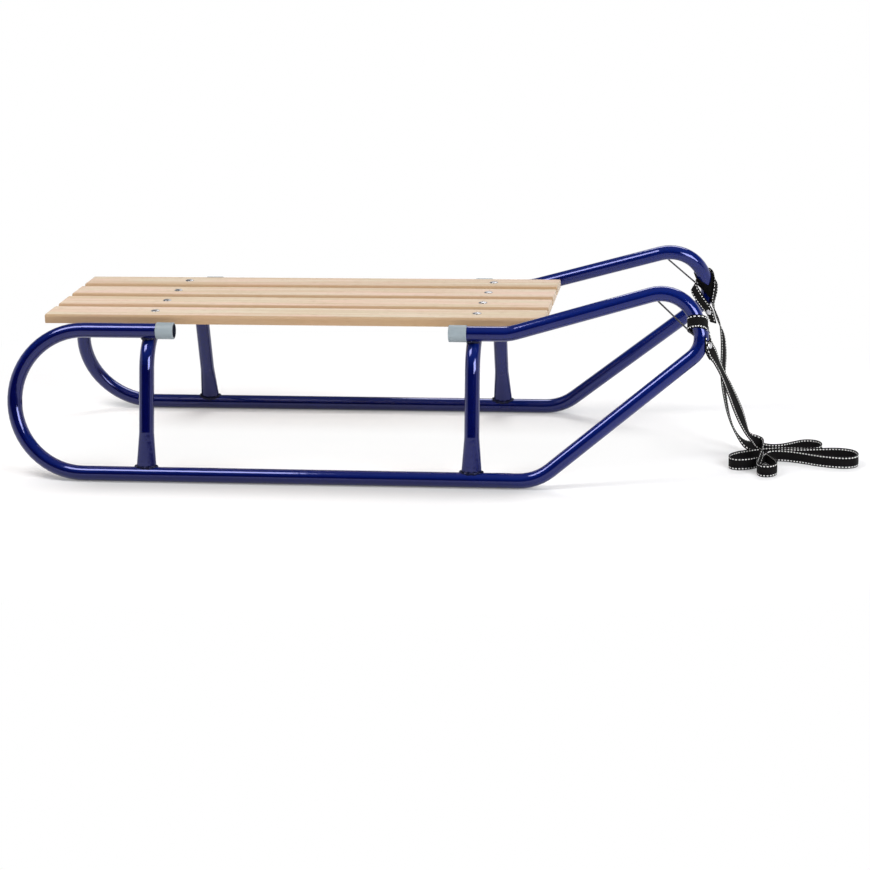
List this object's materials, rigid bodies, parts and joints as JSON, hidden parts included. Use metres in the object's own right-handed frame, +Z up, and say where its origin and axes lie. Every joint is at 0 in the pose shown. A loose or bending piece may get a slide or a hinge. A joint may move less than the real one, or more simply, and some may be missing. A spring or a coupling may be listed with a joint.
{
  "type": "metal sled",
  "caption": "Tube-steel snow sled with bent side frames, cross hoops, wooden seat slats, capped rail ends and a flat pull strap.",
  "frame": {"origin": "on the floor under the middle of the frame", "axes": "+X forward, towards the noses; +Y left; +Z up"},
  "size_m": [1.2216, 0.4292, 0.2794],
  "materials": {
    "frame_paint": "gloss",
    "slat_wood": "satin",
    "cap_plastic": "satin",
    "keeper_wire": "satin",
    "strap_webbing": "matte"
  },
  "bodies": {
    "root": {"side_frame_right": "frame_paint", "side_frame_left": "frame_paint", "cross_hoop_rear": "frame_paint", "cross_hoop_front": "frame_paint", "seat_slat_1": "slat_wood", "seat_slat_2": "slat_wood", "seat_slat_3": "slat_wood", "seat_slat_4": "slat_wood", "end_cap_rear_right": "cap_plastic", "end_cap_rear_left": "cap_plastic", "end_cap_front_right": "cap_plastic", "end_cap_front_left": "cap_plastic", "strap_keeper_right": "keeper_wire", "strap_keeper_left": "keeper_wire", "strap_loop_right": "strap_webbing", "strap_loop_left": "strap_webbing", "strap_run_right": "strap_webbing", "strap_run_left": "strap_webbing", "strap_hank": "strap_webbing"}
  },
  "joints": []
}
